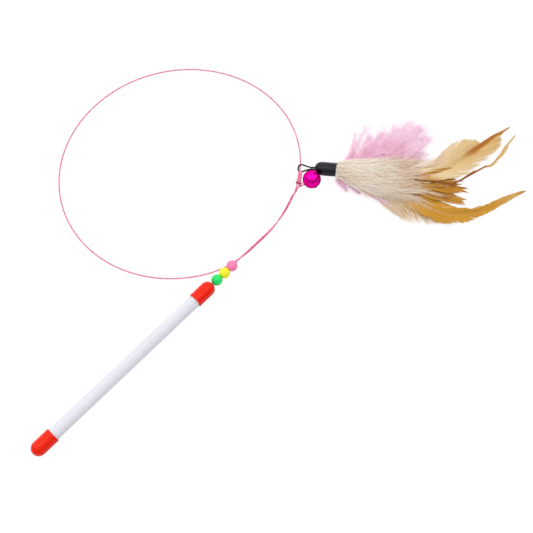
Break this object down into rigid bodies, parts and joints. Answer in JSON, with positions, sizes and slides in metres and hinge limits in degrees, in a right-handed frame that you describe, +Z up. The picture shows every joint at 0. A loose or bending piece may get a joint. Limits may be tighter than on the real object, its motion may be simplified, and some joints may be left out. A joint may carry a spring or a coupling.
{
  "type": "cat teaser wand",
  "caption": "Capped tube handle with a looped foil-wrapped spring wire, round beads, a jingle bell and a feather lure on an elastic eye.",
  "frame": {"origin": "on the handle's axis, where the tube's butt end lies inside its cap", "axes": "+X along the handle towards the wire and the lure, +Y towards the side the wire loops to, +Z up from the surface the wand lies on"},
  "size_m": [0.4004, 0.292, 0.0136],
  "materials": {
    "white_plastic": "smooth, slightly glossy extruded plastic",
    "red_vinyl": "glossy dipped vinyl",
    "hot_glue": "cloudy hot-melt glue",
    "spring_steel": "bright drawn wire",
    "pink_foil": "metallic pink film wound on the wire",
    "green_bead": "glossy moulded plastic",
    "yellow_bead": "glossy moulded plastic",
    "pink_bead": "glossy moulded plastic",
    "magenta_bell": "lacquered thin sheet metal, glossy",
    "steel_ball": "plain steel ball",
    "black_elastic": "round woven elastic cord",
    "black_vinyl": "glossy soft vinyl",
    "cream_down": "soft fluffy feather base",
    "pink_marabou": "very soft dyed down",
    "ginger_hackle": "smooth feather vanes, ginger to dark brown",
    "peach_hackle": "smooth pale feather vane"
  },
  "bodies": {
    "handle": {"handle_tube": "white_plastic", "butt_cap": "red_vinyl", "tip_cap": "red_vinyl", "glue_plug": "hot_glue", "wire_tail": "spring_steel"},
    "stem": {"wire_stem": "spring_steel", "foil_stem": "pink_foil"},
    "green_bead": {"green_bead": "green_bead"},
    "yellow_bead": {"yellow_bead": "yellow_bead"},
    "pink_bead": {"pink_bead": "pink_bead"},
    "loop": {"wire_loop": "spring_steel", "foil_loop": "pink_foil", "foil_binding": "pink_foil"},
    "bell": {"bell_upper_shell": "magenta_bell", "bell_lower_shell": "magenta_bell", "bell_shank": "magenta_bell"},
    "pellet": {"bell_pellet": "steel_ball"},
    "eye": {"elastic_cord": "black_elastic"},
    "lure": {"feather_sleeve": "black_vinyl", "glue_core": "hot_glue", "cream_fluff": "cream_down", "pink_marabou": "pink_marabou", "peach_hackle": "peach_hackle", "striped_hackle": "ginger_hackle", "thin_hackle": "ginger_hackle", "short_hackles": "ginger_hackle", "sickle_hackle": "ginger_hackle"}
  },
  "joints": [
    {"name": "wire_sway", "type": "hinge", "parent": "handle", "child": "stem", "pos_m": [0.15435, 0, 0], "axis": [0, 0, 1], "range_deg": [-12, 12], "stiffness_Nm_per_rad": 0.04},
    {"name": "green_bead_spin", "type": "hinge", "parent": "stem", "child": "green_bead", "pos_m": [0.1582, 0, 0], "axis": [1, 0, 0], "continuous": true},
    {"name": "yellow_bead_spin", "type": "hinge", "parent": "stem", "child": "yellow_bead", "pos_m": [0.16555, 0, 0], "axis": [1, 0, 0], "continuous": true},
    {"name": "pink_bead_spin", "type": "hinge", "parent": "stem", "child": "pink_bead", "pos_m": [0.1729, 0, 0], "axis": [1, 0, 0], "continuous": true},
    {"name": "wire_lift", "type": "hinge", "parent": "stem", "child": "loop", "pos_m": [0.1771, 0, 0], "axis": [0, -1, 0], "range_deg": [-12, 12], "stiffness_Nm_per_rad": 0.04},
    {"name": "bell_swing", "type": "hinge", "parent": "loop", "child": "bell", "pos_m": [0.25313, 0.00965, -0.00168], "axis": [0.8651, 0.5003, -0.0357], "range_deg": [-45, 95]},
    {"name": "pellet_roll", "type": "hinge", "parent": "bell", "child": "pellet", "pos_m": [0.26069, 0.00567, 0.00175], "axis": [0.8208, -0.4328, 0.3727], "range_deg": [-80, 80]},
    {"name": "lure_swing", "type": "hinge", "parent": "loop", "child": "eye", "pos_m": [0.2635, 0.01996, -0.0022], "axis": [0.7742, 0.6319, -0.037], "range_deg": [-120, 120]},
    {"name": "lure_twirl", "type": "hinge", "parent": "eye", "child": "lure", "pos_m": [0.2635, 0.01996, -0.0002], "axis": [0.5979, -0.8016, 0], "range_deg": [-90, 90], "stiffness_Nm_per_rad": 0.0001}
  ]
}
